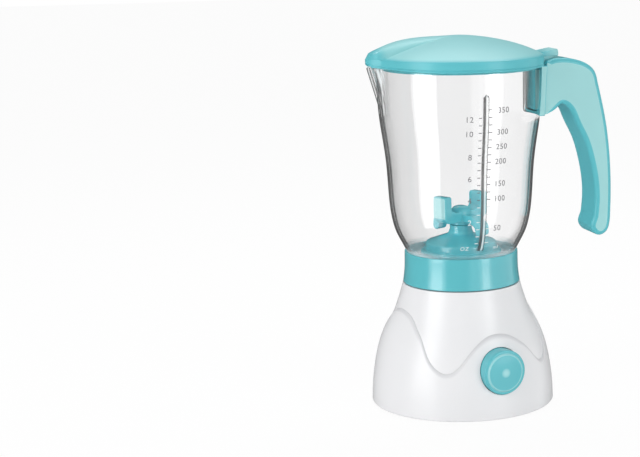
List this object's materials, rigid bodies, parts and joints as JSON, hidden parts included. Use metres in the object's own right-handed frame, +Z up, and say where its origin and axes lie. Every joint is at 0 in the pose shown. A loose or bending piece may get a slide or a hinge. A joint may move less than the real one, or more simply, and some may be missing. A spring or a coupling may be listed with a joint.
{
  "type": "toy blender",
  "caption": "Toy blender: a push-button battery base with a motor and gears, and a clear lift-off jar with a handle, a hinged lid and a spinning blade.",
  "frame": {"origin": "centre of the ring that the four feet stand in, on the surface that the toy stands on", "axes": "+Z up along the jar's axis, +X to the handle, -X to the spout, -Y the side with the measuring scale; the button is turned 8 degrees from -Y towards +X"},
  "size_m": [0.137, 0.1022, 0.2006],
  "materials": {
    "white_plastic": "smooth injection-moulded white ABS with a soft shine",
    "teal_plastic": "smooth injection-moulded blue-green ABS",
    "clear_plastic": "clear injection-moulded polystyrene",
    "grey_rubber": "soft stick-on feet",
    "bright_steel": "plain zinc-plated steel",
    "nylon": "natural nylon or acetal",
    "dark_plastic": "black moulded plastic",
    "circuit_board": "glass-fibre board with a green coating",
    "battery_sleeve": "printed battery sleeve, left plain",
    "magnet": "sintered ferrite",
    "paper_cone": "coated paper",
    "copper_winding": "enamelled copper wire on steel laminations, as one form",
    "brass": "turned brass",
    "red_lead": "PVC insulation",
    "black_lead": "PVC insulation"
  },
  "bodies": {
    "base": {"base_shell": "white_plastic", "base_plate": "white_plastic", "battery_door": "white_plastic", "battery_door_screw": "bright_steel", "base_screws": "bright_steel", "rubber_feet": "grey_rubber", "battery_front": "battery_sleeve", "battery_back": "battery_sleeve", "battery_springs": "bright_steel", "battery_contacts": "bright_steel", "motor_can": "bright_steel", "motor_end_cap": "dark_plastic", "motor_magnets": "magnet", "idler_pin": "bright_steel", "output_bush": "nylon", "gear_plate": "white_plastic", "gear_plate_screws": "bright_steel", "switch_body": "dark_plastic", "circuit_board": "circuit_board", "sound_chip": "dark_plastic", "speaker_frame": "bright_steel", "speaker_cone": "paper_cone", "speaker_magnet": "magnet", "motor_leads": "red_lead", "speaker_leads": "black_lead", "battery_leads": "red_lead"},
    "motor_rotor": {"motor_armature": "copper_winding", "motor_shaft": "bright_steel", "motor_pinion": "brass"},
    "idler": {"idler_gear": "nylon"},
    "drive": {"output_gear": "nylon", "output_shaft": "bright_steel", "drive_dog": "white_plastic"},
    "button": {"push_button": "teal_plastic", "switch_plunger": "dark_plastic"},
    "jar": {"jar_body": "clear_plastic", "collar": "teal_plastic", "blade_post": "teal_plastic", "post_ring_nut": "white_plastic", "handle_front": "teal_plastic", "handle_back": "teal_plastic", "handle_screws": "bright_steel", "hinge_pin": "bright_steel"},
    "blade": {"blade_rotor": "teal_plastic", "blade_shaft": "bright_steel", "driven_dog": "white_plastic"},
    "lid": {"lid": "teal_plastic"}
  },
  "joints": [
    {"name": "motor_spin", "type": "hinge", "parent": "base", "child": "motor_rotor", "pos_m": [-0.0183, -0.00684, 0.04], "axis": [0, 0, 1], "continuous": true},
    {"name": "idler_spin", "type": "hinge", "parent": "base", "child": "idler", "pos_m": [-0.01335, 0.00539, 0.056], "axis": [0, 0, 1], "continuous": true},
    {"name": "drive_spin", "type": "hinge", "parent": "base", "child": "drive", "pos_m": [0, 0, 0.06], "axis": [0, 0, 1], "continuous": true},
    {"name": "button_push", "type": "slide", "parent": "base", "child": "button", "axis": [-0.1392, 0.9903, 0], "range_m": [0, 0.0025], "stiffness_N_per_m": 400, "springref_m": -0.001},
    {"name": "jar_lift", "type": "slide", "parent": "base", "child": "jar", "axis": [0, 0, 1], "range_m": [0, 0.06]},
    {"name": "blade_spin", "type": "hinge", "parent": "jar", "child": "blade", "pos_m": [0, 0, 0.09], "axis": [0, 0, 1], "continuous": true},
    {"name": "lid_hinge", "type": "hinge", "parent": "jar", "child": "lid", "pos_m": [0.0493, 0, 0.1828], "axis": [0, 1, 0], "range_deg": [0, 84]}
  ],
  "couplings": [
    {"joint": "idler_spin", "follows": "motor_spin", "ratio": -0.29412},
    {"joint": "drive_spin", "follows": "motor_spin", "ratio": 0.098039},
    {"joint": "blade_spin", "follows": "motor_spin", "ratio": 0.098039}
  ]
}
